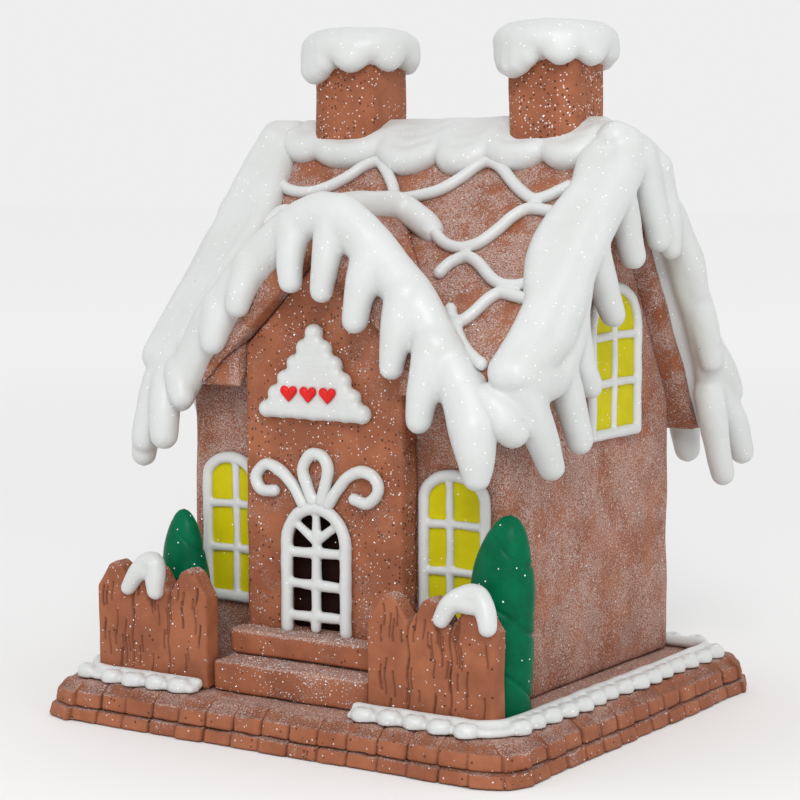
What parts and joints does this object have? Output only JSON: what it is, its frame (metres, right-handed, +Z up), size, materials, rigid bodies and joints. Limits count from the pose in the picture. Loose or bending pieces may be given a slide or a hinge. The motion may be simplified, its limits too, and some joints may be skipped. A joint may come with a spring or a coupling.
{
  "type": "gingerbread house ornament",
  "caption": "Tabletop gingerbread house of baked dough clay on a brick-edged slab, with white icing snow on a gabled roof, chimneys, arched windows, a fence and trees.",
  "frame": {"origin": "centre of the slab's underside", "axes": "+Z up along the chimneys, the door faces -Y, the ridge runs along X"},
  "size_m": [0.1606, 0.1593, 0.1998],
  "materials": {
    "gingerbread_clay": "matte baked dough clay with fine glitter",
    "white_icing_clay": "smooth satin white clay",
    "window_paint": "matte yellow paint",
    "green_clay": "satin green clay",
    "red_clay": "satin red clay",
    "dark_paint": "matte dark brown paint"
  },
  "bodies": {
    "root": {"base_plate": "gingerbread_clay", "brick_course_lower": "gingerbread_clay", "brick_course_upper": "gingerbread_clay", "chimney_cap_left": "white_icing_clay", "chimney_cap_right": "white_icing_clay", "chimney_left": "gingerbread_clay", "chimney_right": "gingerbread_clay", "door_curl_left": "white_icing_clay", "door_curl_right": "white_icing_clay", "door_lattice": "white_icing_clay", "door_loop": "white_icing_clay", "door_shade": "dark_paint", "fence_left": "gingerbread_clay", "fence_right": "gingerbread_clay", "fence_snow_left": "white_icing_clay", "fence_snow_right": "white_icing_clay", "house_body": "gingerbread_clay", "icing_line_back_1": "white_icing_clay", "icing_line_back_2": "white_icing_clay", "icing_line_back_3": "white_icing_clay", "icing_line_back_4": "white_icing_clay", "icing_line_front_1": "white_icing_clay", "icing_line_front_2_left": "white_icing_clay", "icing_line_front_2_right": "white_icing_clay", "icing_line_front_3_left": "white_icing_clay", "icing_line_front_3_right": "white_icing_clay", "porch_front": "gingerbread_clay", "porch_snow": "white_icing_clay", "rake_snow_left": "white_icing_clay", "rake_snow_right": "white_icing_clay", "ridge_snow": "white_icing_clay", "rim_icing": "white_icing_clay", "roof_back": "gingerbread_clay", "roof_front": "gingerbread_clay", "roof_gable": "gingerbread_clay", "sign_heart_left": "red_clay", "sign_heart_middle": "red_clay", "sign_heart_right": "red_clay", "sign_plaque": "white_icing_clay", "step_lower": "gingerbread_clay", "step_upper": "gingerbread_clay", "tree_left": "green_clay", "tree_right": "green_clay", "window_back_left_frame": "white_icing_clay", "window_back_left_pane": "window_paint", "window_back_right_frame": "white_icing_clay", "window_back_right_pane": "window_paint", "window_front_left_frame": "white_icing_clay", "window_front_left_pane": "window_paint", "window_front_right_frame": "white_icing_clay", "window_front_right_pane": "window_paint", "window_side_left_frame": "white_icing_clay", "window_side_left_pane": "window_paint", "window_side_right_frame": "white_icing_clay", "window_side_right_pane": "window_paint"}
  },
  "joints": []
}
